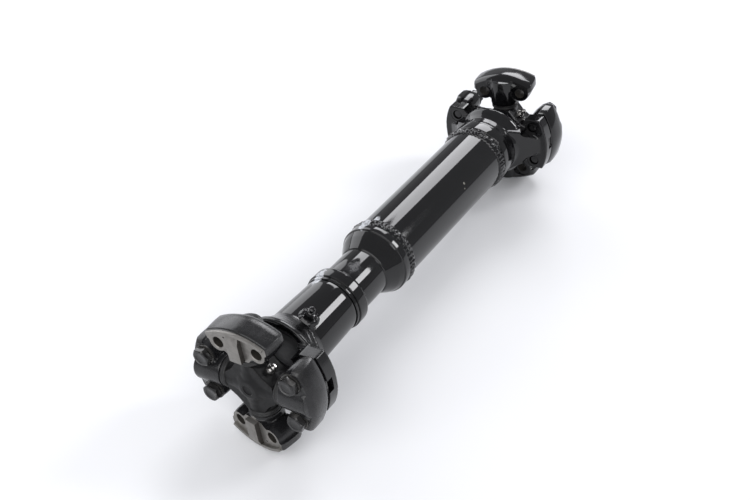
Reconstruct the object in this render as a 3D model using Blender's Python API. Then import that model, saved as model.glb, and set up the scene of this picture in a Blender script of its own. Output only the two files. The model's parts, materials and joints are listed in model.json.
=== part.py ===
"""Universal joint shaft: a tube with a sliding splined end, and a wing-bearing cross joint at each end.

The shaft lies on its two lower bearing blocks. X runs along the shaft from the sliding end to the
welded end, Z is up, and the origin is under the middle of the shaft on the surface that it lies on.
Lengths are in metres. Along the shaft, x is first counted from the ring where the cone of the
splined stub starts, and SHAFT_SHIFT moves it to the origin in the middle.
"""
import math

import bmesh
import bpy
from mathutils import Matrix, Vector

MM = 0.001
GAP = 0.3 * MM

# The whole shaft
NEAR_CENTRE = -201.0 * MM
FAR_CENTRE = 363.4 * MM
SHAFT_SHIFT = -80.83 * MM
SHAFT_HEIGHT = 79.5 * MM
SHAFT_ROLL = math.radians(9.0)
NEAR_LOWER_SWIVEL = math.radians(9.5)
FAR_UPPER_SWIVEL = math.radians(8.0)
ROUND = 32

# Wing bearing block, in its own frame: X out of the machined face, Y along the bolts, Z outwards
FACE = 18.7 * MM
SPOT_FACE = -10.5 * MM
SPOT_RADIUS = 11.9 * MM
PILOT_RADIUS = 74.2 * MM
LIP_HEIGHT = 3.0 * MM
KEY_HALF_WIDTH = 7.8 * MM
KEY_HEIGHT = 6.0 * MM
BOLT_HALF_SPACING = 24.6 * MM
BOLT_ROW_RADIUS = 56.0 * MM
BOLT_HOLE_RADIUS = 6.6 * MM
BLOCK_INNER_END = 38.4 * MM
BORE_RADIUS = 15.0 * MM
BORE_END = 69.5 * MM

# Cross
TRUNNION_RADIUS = 12.5 * MM
TRUNNION_END = 67.0 * MM
SHOULDER_RADIUS = 16.5 * MM
SHOULDER_END = 31.0 * MM
HUB_RADIUS = 24.0 * MM
HUB_HALF_THICKNESS = 17.0 * MM
HUB_CHAMFER = 5.0 * MM

# Bolts
HEX_ACROSS_FLATS = 19.05 * MM
HEAD_HEIGHT = 7.5 * MM
WASHER_THICKNESS = 2.0 * MM
WASHER_RADIUS = 11.6 * MM

# Yoke head, in the joint's frame: X from the cross towards the shaft, ears at +Y and -Y
EAR_FRONT = FACE + GAP
EAR_BACK = 35.4 * MM
EAR_SHOULDER = 22.4 * MM
EAR_CHAMFER = 0.7 * MM
EAR_PILOT_RADIUS = 73.8 * MM
EAR_PILOT_HALF_WIDTH = 35.5 * MM
EAR_RADIUS = 76.2 * MM
EAR_HALF_WIDTH = 36.0 * MM
EAR_INNER = 30.0 * MM
KEYWAY_HALF_WIDTH = 8.1 * MM
KEYWAY_DEPTH = 9.0 * MM

# Splined slip joint and tube
TUBE_RADIUS = 41.25 * MM
TUBE_INNER_RADIUS = 37.2 * MM
SPIGOT_RADIUS = 36.8 * MM
TUBE_START = 40.0 * MM
TUBE_END = 267.0 * MM
STUB_RADIUS = 30.7 * MM
SPLINE_TEETH = 16
SPLINE_TIP = 30.4 * MM
SPLINE_ROOT = 28.0 * MM
SPLINE_CLEARANCE = 0.35 * MM
SLIP_NIPPLE_ALONG = 76.0 * MM
SLIP_NIPPLE_ANGLE = math.radians(29.0)
CROSS_NIPPLE_SEAT = 24.2 * MM


def clear_scene():
    for obj in list(bpy.data.objects):
        bpy.data.objects.remove(obj)
    for block in (bpy.data.meshes, bpy.data.materials):
        for item in list(block):
            block.remove(item)


def finish_material(name, colour, roughness, metallic):
    material = bpy.data.materials.new(name)
    material.use_nodes = True
    shader = material.node_tree.nodes["Principled BSDF"]
    shader.inputs["Base Color"].default_value = (*colour, 1.0)
    shader.inputs["Roughness"].default_value = roughness
    shader.inputs["Metallic"].default_value = metallic
    return material


# Mesh builders -----------------------------------------------------------------------------------


def mesh_from(bm):
    bmesh.ops.recalc_face_normals(bm, faces=bm.faces)
    mesh = bpy.data.meshes.new("shape")
    bm.to_mesh(mesh)
    bm.free()
    return mesh


def loft(rings, closed=False):
    """Joins rings of points, one after the other. The ends are capped, or joined if closed is set.

    A ring of one point is the tip of a cone.
    """
    bm = bmesh.new()
    loops = [[bm.verts.new(point) for point in ring] for ring in rings]
    pairs = list(zip(loops, loops[1:]))
    if closed:
        pairs.append((loops[-1], loops[0]))
    for first, second in pairs:
        count = max(len(first), len(second))
        for i in range(count):
            j = (i + 1) % count
            if len(first) == 1:
                bm.faces.new((first[0], second[j], second[i]))
            elif len(second) == 1:
                bm.faces.new((first[i], first[j], second[0]))
            else:
                bm.faces.new((first[i], first[j], second[j], second[i]))
    if not closed:
        for loop in (loops[0], loops[-1]):
            if len(loop) > 1:
                bm.faces.new(loop)
    return mesh_from(bm)


def turned(profile, closed=False, count=ROUND, axis="X"):
    """Turns a profile of (distance along the axis, radius) in millimetres round that axis."""
    rings = []
    for along, radius in profile:
        if radius == 0.0:
            rings.append([Vector((along, 0.0, 0.0)) * MM])
            continue
        angles = [2 * math.pi * i / count for i in range(count)]
        rings.append([Vector((along, radius * math.cos(a), radius * math.sin(a))) * MM for a in angles])
    mesh = loft(rings, closed)
    if axis == "Y":
        mesh.transform(Matrix.Rotation(math.pi / 2, 4, "Z"))
    if axis == "Z":
        mesh.transform(Matrix.Rotation(-math.pi / 2, 4, "Y"))
    return mesh


def cylinder(start, end, radius, centre=(0.0, 0.0), axis="X", count=24):
    """A plain cylinder along an axis, with its centre line through two coordinates of the other axes."""
    mesh = turned([(start / MM, radius / MM), (end / MM, radius / MM)], count=count, axis=axis)
    offset = {"X": (0.0, *centre), "Y": (centre[0], 0.0, centre[1]), "Z": (*centre, 0.0)}[axis]
    mesh.transform(Matrix.Translation(offset))
    return mesh


def prism(outline, start, end, axis="X"):
    """Extrudes an outline of (Y, Z) points from start to end along X, or of (X, Y) points along Z."""
    if axis == "X":
        return loft([[Vector((s, a, b)) for a, b in outline] for s in (start, end)])
    return loft([[Vector((a, b, s)) for a, b in outline] for s in (start, end)])


def box(low, high):
    outline = [(low[1], low[2]), (high[1], low[2]), (high[1], high[2]), (low[1], high[2])]
    return prism(outline, low[0], high[0])


def arc(radius, first, last, steps, centre=(0.0, 0.0)):
    """Points on an arc, with the angles in degrees."""
    angles = [math.radians(first + (last - first) * i / steps) for i in range(steps + 1)]
    return [(centre[0] + radius * math.cos(a), centre[1] + radius * math.sin(a)) for a in angles]


def mirrored(half):
    """A closed outline from its right half, whose first and last points lie on the centre line."""
    return half + [(-a, b) for a, b in reversed(half[1:-1])]


def combined(base, *steps):
    """The mesh left when each (operation, mesh) is carried out on the base in turn."""
    body = bpy.data.objects.new("body", base)
    bpy.context.scene.collection.objects.link(body)
    helpers = []
    for operation, mesh in steps:
        helper = bpy.data.objects.new("helper", mesh)
        bpy.context.scene.collection.objects.link(helper)
        helpers.append(helper)
        modifier = body.modifiers.new(operation, "BOOLEAN")
        modifier.operation = operation
        modifier.object = helper
        modifier.solver = "EXACT"
    graph = bpy.context.evaluated_depsgraph_get()
    result = bpy.data.meshes.new_from_object(body.evaluated_get(graph))
    for obj in [body, *helpers]:
        bpy.data.objects.remove(obj)
    return result


def joined(*meshes):
    return [("UNION", mesh) for mesh in meshes]


def cut(*meshes):
    return [("DIFFERENCE", mesh) for mesh in meshes]


# Shapes of the pieces ----------------------------------------------------------------------------

# The cupped rim between a yoke's ears, in millimetres from the joint's centre and from the shaft's axis.
RIM_PROFILE = [(40.0, 40.5), (40.0, 46.5), (41.5, 47.5), (46.0, 47.5)]


def wing_outline(inset):
    """The outline of a bearing block seen on its machined face, drawn in by an inset at the ends."""
    half = [
        (0.0, 80.0),
        (24.7, 76.1),
        (38.0 - inset, 70.4 + 0.3 * inset),
        (42.0 - inset, 63.0),
        (42.0 - inset, 54.5),
        (37.5 - inset, 47.2),
        (30.0, 44.6),
        (20.0, 45.0),
        (14.0, 42.5),
        (0.0, 42.5),
    ]
    return [(a * MM, b * MM) for a, b in mirrored(half)]


def wing_mesh():
    """Bearing block: two bolt lugs and a barrel for the trunnion, a drive key and a pilot lip."""
    sections = [(SPOT_FACE, 3.0), (SPOT_FACE + 5 * MM, 0.0), (FACE - 9 * MM, 0.0), (FACE, 5.0)]
    lugs = loft([[Vector((x, a, b)) for a, b in wing_outline(inset)] for x, inset in sections])
    barrel = turned(
        [(38.4, 17.4), (39.6, 18.7), (71.0, 18.7), (77.0, 13.0)], count=20, axis="Z"
    )
    barrel.transform(Matrix.Translation((-0.6 * MM, 0.0, 0.0)))
    key = box((FACE - MM, -KEY_HALF_WIDTH, 41.0 * MM), (FACE + KEY_HEIGHT, KEY_HALF_WIDTH, 70.0 * MM))
    lip_side = [(32.2, 71.5), (24.4, 75.5)]
    lip_outer = [*lip_side, (0.0, 79.4), *[(-a, b) for a, b in reversed(lip_side)]]
    lip_outer = [(a * MM, b * MM) for a, b in lip_outer]
    lip_inner = reversed(arc(PILOT_RADIUS + 0.6 * MM, 65.5, 114.5, 4))
    lip = prism([*lip_outer, *lip_inner], FACE - MM, FACE + LIP_HEIGHT)
    bore = cylinder(BLOCK_INNER_END - MM, BORE_END, BORE_RADIUS, axis="Z", count=20)
    holes = [
        cylinder(-30 * MM, 40 * MM, BOLT_HOLE_RADIUS, (side * BOLT_HALF_SPACING, BOLT_ROW_RADIUS), count=14)
        for side in (1, -1)
    ]
    seats = [
        cylinder(-40 * MM, SPOT_FACE, SPOT_RADIUS, (side * BOLT_HALF_SPACING, BOLT_ROW_RADIUS), count=20)
        for side in (1, -1)
    ]
    return combined(lugs, *joined(barrel, key, lip), *cut(bore, *holes, *seats))


def cross_mesh():
    """Forged cross: a thick centre and four ground trunnions."""
    end, tip = TRUNNION_END / MM, TRUNNION_RADIUS / MM
    shoulder, edge = SHOULDER_END / MM, SHOULDER_RADIUS / MM
    half = [(shoulder, edge), (shoulder, tip), (end - 1.2, tip), (end, tip - 1.2)]
    profile = [(-a, b) for a, b in reversed(half)] + half
    arms = [turned(profile, count=20, axis=axis) for axis in ("Y", "Z")]
    thick, round_edge = HUB_HALF_THICKNESS / MM, HUB_RADIUS / MM
    chamfer = HUB_CHAMFER / MM
    front = [(-thick, round_edge - chamfer), (chamfer - thick, round_edge)]
    hub = turned([*front, *[(-a, b) for a, b in reversed(front)]], count=20)
    thread = cylinder(CROSS_NIPPLE_SEAT - 7 * MM, 40 * MM, 3.4 * MM, axis="Z", count=10)
    spot_face = cylinder(CROSS_NIPPLE_SEAT, 40 * MM, 5.8 * MM, axis="Z", count=16)
    for cutter in (thread, spot_face):
        cutter.transform(Matrix.Rotation(math.pi / 4, 4, "X"))
    return combined(arms[0], *joined(arms[1], hub), *cut(thread, spot_face))


def needle_mesh():
    """A full set of needle rollers, as one ring whose outside and inside follow the rollers."""
    rollers = 12
    low, high = 41.0 * MM, 66.0 * MM
    rings = []
    for radius, bulge, z in ((14.6, -0.3, low), (14.6, -0.3, high), (12.85, 0.3, high), (12.85, 0.3, low)):
        ring = []
        for i in range(2 * rollers):
            angle = math.pi * i / rollers
            r = (radius + bulge * (i % 2)) * MM
            ring.append(Vector((r * math.cos(angle), r * math.sin(angle), z)))
        rings.append(ring)
    return loft(rings, closed=True)


def seal_mesh():
    """Lip seal round a trunnion, between the cross and the bearing block."""
    profile = [(31.4, 12.9), (31.4, 16.6), (32.6, 17.8), (38.0, 17.8), (38.0, 12.9)]
    return turned(profile, closed=True, count=18, axis="Z")


def hexagon(across_flats):
    return arc(across_flats / math.sqrt(3), 30, 330, 5)


def bolt_mesh():
    """Hexagon bolt, with its head towards -X. The shank goes through the block and into the ear."""
    seat = SPOT_FACE - 2 * GAP - WASHER_THICKNESS
    top = seat - HEAD_HEIGHT
    chamfer = HEX_ACROSS_FLATS / 2 - 0.5 * MM
    outline = hexagon(HEX_ACROSS_FLATS)
    ring = [(a * chamfer / math.hypot(a, b), b * chamfer / math.hypot(a, b)) for a, b in outline]
    head = loft(
        [
            [Vector((top, a, b)) for a, b in ring],
            [Vector((top + 1.2 * MM, a, b)) for a, b in outline],
            [Vector((seat, a, b)) for a, b in outline],
        ]
    )
    shank_end = EAR_BACK / MM - 1.6
    shank = turned([(seat / MM - 1.0, 6.2), (shank_end - 1.4, 6.2), (shank_end, 5.0)], count=12)
    return combined(head, *joined(shank))


def washer_mesh():
    front = (SPOT_FACE - GAP - WASHER_THICKNESS) / MM
    back = (SPOT_FACE - GAP) / MM
    outer = WASHER_RADIUS / MM
    return turned([(front, 6.7), (front, outer), (back, outer), (back, 6.7)], closed=True, count=14)


def ear_outline(radius, half_width):
    half_angle = math.degrees(math.asin(half_width / radius))
    outer = arc(radius, -half_angle, half_angle, 8)
    return outer + [(EAR_INNER, half_width), (EAR_INNER, -half_width)]


def yoke_mesh(hub, extras=(), bores=()):
    """A yoke head: two ears, with keyways and bolt holes, on a hub turned round the shaft's axis."""
    pilot = ear_outline(EAR_PILOT_RADIUS, EAR_PILOT_HALF_WIDTH)
    body = ear_outline(EAR_RADIUS, EAR_HALF_WIDTH)
    step = EAR_SHOULDER + EAR_CHAMFER
    sections = [(EAR_FRONT, pilot), (EAR_SHOULDER, pilot), (step, body), (EAR_BACK, body)]
    ear = loft([[Vector((x, a, b)) for a, b in outline] for x, outline in sections])
    web_outline = [(28, 31), (33, 64), (38, 57), (46, 48), (56, 42), (52, 32), (44, 38), (38, 31)]
    web = prism([(a * MM, b * MM) for a, b in web_outline], -27 * MM, 27 * MM, axis="Z")
    parts = [ear, web]
    for mesh in (ear, web):
        other = mesh.copy()
        other.transform(Matrix.Rotation(math.pi, 4, "X"))
        parts.append(other)
    cutters = list(bores)
    for side in (1, -1):
        low, high = sorted((side * 25 * MM, side * 90 * MM))
        keyway_low = (EAR_FRONT - MM, low, -KEYWAY_HALF_WIDTH)
        keyway_high = (EAR_FRONT + KEYWAY_DEPTH, high, KEYWAY_HALF_WIDTH)
        cutters.append(box(keyway_low, keyway_high))
        for up in (1, -1):
            centre = (side * BOLT_ROW_RADIUS, up * BOLT_HALF_SPACING)
            cutters.append(cylinder(EAR_FRONT - MM, EAR_BACK + 20 * MM, BOLT_HOLE_RADIUS, centre, count=14))
    return combined(hub, *joined(*parts, *extras), *cut(*cutters))


def spline_ring(tip, root, x):
    """A ring of points round a splined section, four to each tooth."""
    pitch = 2 * math.pi / SPLINE_TEETH
    steps = ((-0.32, root), (-0.18, tip), (0.18, tip), (0.32, root))
    ring = []
    for tooth in range(SPLINE_TEETH):
        for share, radius in steps:
            angle = pitch * (tooth + share)
            ring.append(Vector((x, radius * math.cos(angle), radius * math.sin(angle))))
    return ring


def slip_yoke_mesh():
    """Yoke with a sleeve. Its bore is splined, and closed by a plug in the bottom of the cup."""
    outside = [(51.0, 45.0), (57.0, 39.0), (64.0, 36.5), (130.0, 34.3), (134.4, 34.1), (134.4, 32.4)]
    mouth = [(149.5, 32.4), (149.5, 31.3), (116.0, 31.3), (116.0, 26.5)]
    floor = [(53.0, 26.5), (53.0, 29.0), (48.5, 29.0), (44.0, 36.5)]
    hub = turned([*RIM_PROFILE, *outside, *mouth, *floor], closed=True)
    tip, root = SPLINE_TIP + SPLINE_CLEARANCE, SPLINE_ROOT + SPLINE_CLEARANCE
    spline = loft([spline_ring(tip, root, x * MM) for x in (52.5, 117.0)])
    boss = turned([(31.0, 11.0), (38.0, 9.5), (39.0, 8.5)], count=20, axis="Z")
    boss.transform(slip_nipple_place())
    hole = cylinder(33 * MM, 42 * MM, 3.4 * MM, axis="Z", count=10)
    hole.transform(slip_nipple_place())
    return yoke_mesh(hub, [boss], [spline, hole])


def slip_nipple_place():
    """From the nipple's own frame, with Z out of the sleeve, to the near joint's frame."""
    turn = Matrix.Rotation(SLIP_NIPPLE_ANGLE, 4, "X")
    return turn @ Matrix.Translation((SLIP_NIPPLE_ALONG, 0.0, 0.0))


def tube_yoke_mesh():
    """Yoke with a short hub and a spigot that fits inside the tube."""
    start = (FAR_CENTRE - TUBE_END) / MM
    floor = [(50.0, 0.0), (50.0, 24.0), (44.0, 36.5)]
    band = [(52.0, 45.0), (60.0, 41.5), (70.0, 41.8), (72.0, 43.4), (start - 7.4, 43.4)]
    spigot = [
        (start - 4.0, SPIGOT_RADIUS / MM + 0.7),
        (start - 4.0, SPIGOT_RADIUS / MM),
        (start + 20.0, SPIGOT_RADIUS / MM),
        (start + 22.0, 35.0),
        (start + 22.0, 31.0),
        (72.0, 24.0),
        (66.0, 0.0),
    ]
    return yoke_mesh(turned([*floor, *RIM_PROFILE, *band, *spigot]))


def stub_mesh():
    """Splined stub: the spline, a plain neck, and a cone that flares to the tube's spigot."""
    spigot = SPIGOT_RADIUS / MM
    neck = [(-72.0, 0.0), (-72.0, STUB_RADIUS / MM), (-0.6, STUB_RADIUS / MM)]
    cone = [(0.6, 31.4), (6.0, 34.2), (14.0, 38.9), (22.0, 42.2)]
    band = [(23.0, 43.9), (32.6, 43.9), (36.0, spigot + 0.7), (36.0, spigot), (58.0, spigot), (60.0, 35.0)]
    hollow = [(60.0, 32.0), (22.0, 29.0), (6.0, 16.0), (2.0, 0.0)]
    body = turned([*neck, *cone, *band, *hollow])
    spline = loft([spline_ring(SPLINE_TIP, SPLINE_ROOT, x * MM) for x in (-135.5, -71.0)])
    return combined(body, *joined(spline))


def dust_cap_mesh():
    """Cap screwed on the end of the sleeve. It holds the slip seal."""
    outer = [(134.9, 32.9), (134.9, 34.4), (137.4, 36.7), (152.5, 36.7), (157.0, 33.6)]
    inner = [(157.0, 31.3), (155.6, 31.3), (155.6, 32.9)]
    return turned([*outer, *inner], closed=True)


def slip_seal_mesh():
    return turned([(150.0, 31.1), (150.0, 32.5), (155.2, 32.5), (155.2, 31.1)], closed=True)


def bore_plug_mesh():
    """Domed plug pressed in the sleeve's inner end."""
    return turned([(48.9, 0.0), (50.6, 28.5), (52.4, 28.5), (50.9, 0.0)], count=24)


def weld_mesh(side):
    """A weld bead in the groove at one end of the tube; side is 1 at the start and -1 at the end."""
    profile = [
        (-3.7, 37.4),
        (-7.0, 44.3),
        (-2.0, 45.2),
        (4.0, 44.4),
        (8.0, 41.7),
        (4.0, 41.7),
        (-0.6, 37.4),
    ]
    return turned([(side * a, b) for a, b in profile], closed=True)


def tube_mesh():
    start, end = TUBE_START / MM, TUBE_END / MM
    outer, inner = TUBE_RADIUS / MM, TUBE_INNER_RADIUS / MM
    outside = [(start, inner + 0.4), (start + 4.0, outer), (end - 4.0, outer), (end, inner + 0.4)]
    return turned([(start, inner), *outside, (end, inner)], closed=True)


def nipple_mesh():
    """Grease nipple, pointing along +Z from the surface at Z = 0."""
    profile = [
        (-5.0, 3.0),
        (0.3, 3.0),
        (0.3, 5.0),
        (4.3, 5.0),
        (5.5, 3.6),
        (9.0, 2.4),
        (10.0, 3.3),
        (11.6, 3.0),
    ]
    return turned(profile, count=10, axis="Z")


# Assembly ----------------------------------------------------------------------------------------


def empty(name, parent=None, matrix=None):
    obj = bpy.data.objects.new(name, None)
    bpy.context.scene.collection.objects.link(obj)
    obj.parent = parent
    obj.matrix_local = matrix or Matrix()
    return obj


def place(name, mesh, material, parent, matrix=None):
    """One named piece, shaded smooth over its round surfaces."""
    if not mesh.materials:
        mesh.shade_smooth()
        mesh.set_sharp_from_angle(angle=math.radians(32))
        mesh.materials.append(None)
    obj = bpy.data.objects.new(name, mesh)
    bpy.context.scene.collection.objects.link(obj)
    obj.material_slots[0].link = "OBJECT"
    obj.material_slots[0].material = material
    obj.parent = parent
    obj.matrix_local = matrix or Matrix()
    return obj


def turn(angle, axis):
    return Matrix.Rotation(math.radians(angle), 4, axis)


# From a block's own frame to its place on the joint: fixed blocks face the shaft, free ones face away.
FIXED_PLACES = {"left": turn(-90, "X"), "right": turn(90, "X")}
FREE_PLACES = {"upper": turn(180, "Z"), "lower": turn(180, "Y")}
ARM_PLACES = {
    "left": turn(-90, "X"),
    "right": turn(90, "X"),
    "upper": Matrix(),
    "lower": turn(180, "X"),
}


def build_joint(end, frame, swivels, shapes, finishes):
    """One cross joint. frame is its empty; the far joint's X points back along the shaft."""
    flip = turn(180, "Z") if end == "far" else Matrix()
    place(f"{end}_cross", shapes["cross"], finishes["cross"], frame)
    nipple_place = turn(45, "X") @ Matrix.Translation((0.0, 0.0, CROSS_NIPPLE_SEAT))
    place(f"{end}_cross_nipple", shapes["nipple"], finishes["nipple"], frame, nipple_place)
    for side, arm in ARM_PLACES.items():
        place(f"{end}_seal_{side}", shapes["seal"], finishes["seal"], frame, arm)
    for side, seat in FIXED_PLACES.items():
        if end == "far":
            seat = flip @ FIXED_PLACES["right" if side == "left" else "left"]
        place(f"{end}_wing_{side}", shapes["wing"], finishes[f"{end}_wing"], frame, seat)
        place(f"{end}_needles_{side}", shapes["needles"], finishes["needles"], frame, ARM_PLACES[side])
        for level, offset in (("upper", BOLT_HALF_SPACING), ("lower", -BOLT_HALF_SPACING)):
            across = BOLT_ROW_RADIUS if side == "left" else -BOLT_ROW_RADIUS
            bolt_place = Matrix.Translation((0.0, across, offset)) @ flip
            place(f"{end}_bolt_{side}_{level}", shapes["bolt"], finishes["bolt"], frame, bolt_place)
            place(f"{end}_washer_{side}_{level}", shapes["washer"], finishes["washer"], frame, bolt_place)
    for side, seat in FREE_PLACES.items():
        pivot = empty(f"{end}_{side}_pivot", frame, Matrix.Rotation(swivels.get(side, 0.0), 4, "Z"))
        place(f"{end}_wing_{side}", shapes["wing"], finishes[f"{end}_wing"], pivot, flip @ seat)
        place(f"{end}_needles_{side}", shapes["needles"], finishes["needles"], pivot, ARM_PLACES[side])


def main():
    clear_scene()
    finishes = {
        "shaft": finish_material("gloss_black_paint", (0.012, 0.012, 0.014), 0.16, 0.0),
        "cross": finish_material("cross_forging", (0.035, 0.035, 0.038), 0.5, 0.3),
        "near_wing": finish_material("wing_forging", (0.045, 0.045, 0.05), 0.5, 0.3),
        "seal": finish_material("seal_rubber", (0.015, 0.015, 0.016), 0.6, 0.0),
        "needles": finish_material("bearing_steel", (0.6, 0.6, 0.6), 0.25, 1.0),
        "bolt": finish_material("painted_bolt", (0.03, 0.03, 0.034), 0.4, 0.2),
        "washer": finish_material("washer_steel", (0.5, 0.5, 0.48), 0.4, 0.9),
        "nipple": finish_material("nipple_steel", (0.55, 0.55, 0.55), 0.25, 1.0),
        "weld": finish_material("painted_weld", (0.015, 0.015, 0.017), 0.25, 0.0),
        "plug": finish_material("plug_steel", (0.2, 0.2, 0.2), 0.4, 0.8),
    }
    finishes["far_wing"] = finishes["shaft"]
    shapes = {
        "cross": cross_mesh(),
        "wing": wing_mesh(),
        "seal": seal_mesh(),
        "needles": needle_mesh(),
        "bolt": bolt_mesh(),
        "washer": washer_mesh(),
        "nipple": nipple_mesh(),
    }
    lying = Matrix.Translation((SHAFT_SHIFT, 0.0, SHAFT_HEIGHT)) @ Matrix.Rotation(-SHAFT_ROLL, 4, "X")
    shaft = empty("shaft", matrix=lying)
    near = empty("near_joint", shaft, Matrix.Translation((NEAR_CENTRE, 0.0, 0.0)))
    far = empty("far_joint", shaft, Matrix.Translation((FAR_CENTRE, 0.0, 0.0)))

    build_joint("near", near, {"lower": -NEAR_LOWER_SWIVEL}, shapes, finishes)
    build_joint("far", far, {"upper": FAR_UPPER_SWIVEL}, shapes, finishes)

    place("slip_yoke", slip_yoke_mesh(), finishes["shaft"], near)
    place("slip_yoke_plug", bore_plug_mesh(), finishes["plug"], near)
    place("slip_seal", slip_seal_mesh(), finishes["seal"], near)
    place("dust_cap", dust_cap_mesh(), finishes["shaft"], near)
    seat = slip_nipple_place() @ Matrix.Translation((0.0, 0.0, 39.1 * MM))
    place("slip_nipple", shapes["nipple"], finishes["nipple"], near, seat)

    place("splined_stub", stub_mesh(), finishes["shaft"], shaft)
    place("tube", tube_mesh(), finishes["shaft"], shaft)
    place("tube_yoke", tube_yoke_mesh(), finishes["shaft"], far, turn(180, "Z"))
    for name, at, side in (("front_weld", TUBE_START, 1), ("rear_weld", TUBE_END, -1)):
        place(name, weld_mesh(side), finishes["weld"], shaft, Matrix.Translation((at, 0.0, 0.0)))


main()
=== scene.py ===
"""Looks of the universal joint shaft: rounded forgings, gloss paint, ground faces, weld beads and a studio.

Meshes are built in millimetres in a joint's own frame, and a joint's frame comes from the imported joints.
In a joint's frame X runs from the cross towards the middle of the shaft, Y goes through the bolted blocks
and Z through the free ones. In a block's frame X points out of its ground face, Y runs along its bolts
and Z runs outwards from the shaft's axis.
"""

import json
import math

import bmesh
import bpy
from mathutils import Matrix, Vector, noise


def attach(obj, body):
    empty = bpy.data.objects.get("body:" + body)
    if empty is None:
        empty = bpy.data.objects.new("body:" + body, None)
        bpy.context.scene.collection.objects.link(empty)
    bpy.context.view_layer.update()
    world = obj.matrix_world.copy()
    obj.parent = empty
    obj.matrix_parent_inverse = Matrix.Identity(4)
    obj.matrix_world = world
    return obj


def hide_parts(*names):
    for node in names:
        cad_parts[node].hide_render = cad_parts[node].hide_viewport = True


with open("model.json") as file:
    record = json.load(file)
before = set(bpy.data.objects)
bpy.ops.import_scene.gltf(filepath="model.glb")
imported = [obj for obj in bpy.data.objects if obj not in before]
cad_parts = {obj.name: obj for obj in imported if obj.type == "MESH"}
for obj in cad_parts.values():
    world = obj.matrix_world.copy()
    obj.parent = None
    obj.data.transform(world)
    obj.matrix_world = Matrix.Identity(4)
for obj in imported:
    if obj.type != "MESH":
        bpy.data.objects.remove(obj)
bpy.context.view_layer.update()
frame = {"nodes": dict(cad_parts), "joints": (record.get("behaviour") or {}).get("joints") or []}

# Distances along the shaft from the near joint's centre, in millimetres
CONE_FROM_NEAR = 201.0
FAR_FROM_NEAR = 564.4
TUBE_START = CONE_FROM_NEAR + 40.0
TUBE_END = CONE_FROM_NEAR + 267.0

# How far the free blocks are swivelled and the whole shaft is rolled at rest, in degrees
SWIVELS = {"near_upper": 0.0, "near_lower": -9.5, "far_upper": 8.0, "far_lower": 0.0}
SHAFT_ROLL = 9.0

# Bearing block, in millimetres in its own frame: X of its two faces, the bolts' places, and radii
FACE = 18.7
SPOT_FACE = -10.5
HALF_BOLT_SPACING = 24.6
BOLT_ROW = 56.0
BOLT_HOLE = 6.6
KEY_HALF_WIDTH = 7.8
FREE_RIM = 76.9
FIXED_RIM = 73.6
LIP_INNER = 72.6
LIP_OUTER = 76.6
LIP_HALF_ANGLE = 28.5
CROWN = 1.15
CROWN_SPREAD = 12.0

# Yoke ears, in millimetres in the joint's frame
EAR_FRONT = 19.0
EAR_BACK = 35.4
EAR_RADIUS = 76.0
EAR_HALF_WIDTH = 36.0

# Radii of the shaft's round parts, and small fittings, in millimetres
TUBE_RADIUS = 41.25
NECK_RADIUS = 30.7
TRUNNION_RADIUS = 12.45
HEX_ACROSS_FLATS = 19.05
SLIP_NIPPLE = {"along": 76.0, "angle": 29.0, "seat": 39.1}
CROSS_NIPPLE_SEAT = 26.4

# Points round a turned shape, and the steepest edge that is shaded smooth
FINE = 144
SMOOTH_BELOW = math.radians(34)

# Pale grey for a scuff on the tube, and for painted reflections of the pale floor on the dust cap and beside
# the front weld
WHITE_SCUFF_AND_REFLECTION = (0.62, 0.64, 0.68)


# Mesh helpers ------------------------------------------------------------------------------------


def mesh_from(bm):
    bmesh.ops.recalc_face_normals(bm, faces=bm.faces)
    mesh = bpy.data.meshes.new("shape")
    bm.to_mesh(mesh)
    bm.free()
    return mesh


def loft(rings, closed=False):
    """Joins rings of points in order. The ends are capped, or joined if closed. A ring of one is a tip."""
    bm = bmesh.new()
    loops = [[bm.verts.new(point) for point in ring] for ring in rings]
    pairs = list(zip(loops, loops[1:]))
    if closed:
        pairs.append((loops[-1], loops[0]))
    for first, second in pairs:
        count = max(len(first), len(second))
        for i in range(count):
            j = (i + 1) % count
            if len(first) == 1:
                bm.faces.new((first[0], second[j], second[i]))
            elif len(second) == 1:
                bm.faces.new((first[i], first[j], second[0]))
            else:
                bm.faces.new((first[i], first[j], second[j], second[i]))
    if not closed:
        for loop in (loops[0], loops[-1]):
            if len(loop) > 1:
                bm.faces.new(loop)
    return mesh_from(bm)


def softened(profile, radius, steps=4, closed=False):
    """The profile with each corner rounded off over up to radius on both sides."""
    points = [Vector(p) for p in profile]
    last = len(points) - 1
    result = []
    for i, corner in enumerate(points):
        if not closed and i in (0, last):
            result.append(corner)
            continue
        before, after = points[i - 1], points[(i + 1) % len(points)]
        reach = min(radius, 0.45 * (before - corner).length, 0.45 * (after - corner).length)
        start = corner + (before - corner).normalized() * reach
        end = corner + (after - corner).normalized() * reach
        for k in range(steps + 1):
            t = k / steps
            result.append(start * (1 - t) ** 2 + corner * (2 * t * (1 - t)) + end * t**2)
    return [tuple(p) for p in result]


def turned(profile, closed=False, count=FINE, axis="X"):
    """Turns a profile of (distance along the axis, radius) round the axis."""
    rings = []
    for along, radius in profile:
        if radius < 1e-6:
            rings.append([Vector((along, 0.0, 0.0))])
            continue
        angles = [2 * math.pi * i / count for i in range(count)]
        rings.append([Vector((along, radius * math.cos(a), radius * math.sin(a))) for a in angles])
    mesh = loft(rings, closed)
    if axis == "Y":
        mesh.transform(Matrix.Rotation(math.pi / 2, 4, "Z"))
    if axis == "Z":
        mesh.transform(Matrix.Rotation(-math.pi / 2, 4, "Y"))
    return mesh


def rod(start, end, radius, centre, count=48):
    """A cylinder along X, with its axis at centre, which is (Y, Z)."""
    mesh = turned([(start, radius), (end, radius)], count=count)
    mesh.transform(Matrix.Translation((0.0, *centre)))
    return mesh


def prism(outline, start, end):
    """Extrudes an outline of (Y, Z) points along X."""
    return loft([[Vector((s, a, b)) for a, b in outline] for s in (start, end)])


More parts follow.
